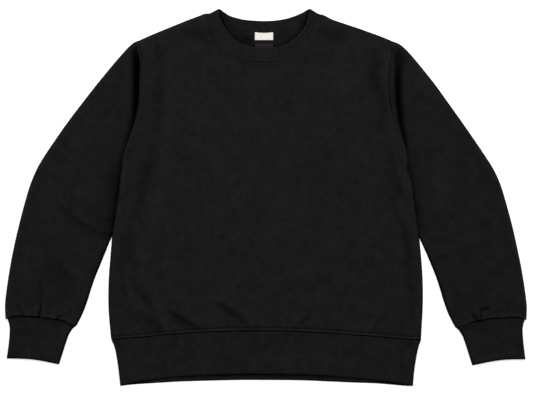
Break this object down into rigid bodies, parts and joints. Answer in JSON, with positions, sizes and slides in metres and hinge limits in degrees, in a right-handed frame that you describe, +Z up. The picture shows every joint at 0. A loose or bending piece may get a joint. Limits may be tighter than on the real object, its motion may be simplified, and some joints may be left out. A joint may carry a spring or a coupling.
{
  "type": "crewneck sweatshirt, laid flat",
  "caption": "Long-sleeved crewneck sweatshirt laid flat, face up, with ribbed neck, cuffs and hem and a bare label inside the back neck.",
  "frame": {"origin": "middle of the garment's outline on the plane it lies on", "axes": "+X across the garment, towards the sleeve that lies on the right as seen from above; +Y from the hem to the neck; +Z up, out of the plane, towards the viewer"},
  "size_m": [0.9907, 0.716, 0.0086],
  "materials": {
    "fleece": "matt black cotton fleece jersey with a faint nap",
    "rib": "matt black cotton rib knit",
    "label": "off-white woven satin label, bare",
    "care_label": "black printed tape, bare"
  },
  "bodies": {
    "root": {"front_panel": "fleece", "back_panel": "fleece", "sleeve_left": "fleece", "sleeve_right": "fleece", "cuff_left": "rib", "cuff_right": "rib", "hem_rib": "rib", "neck_rib": "rib", "neck_label": "label", "care_label": "care_label"}
  },
  "joints": []
}
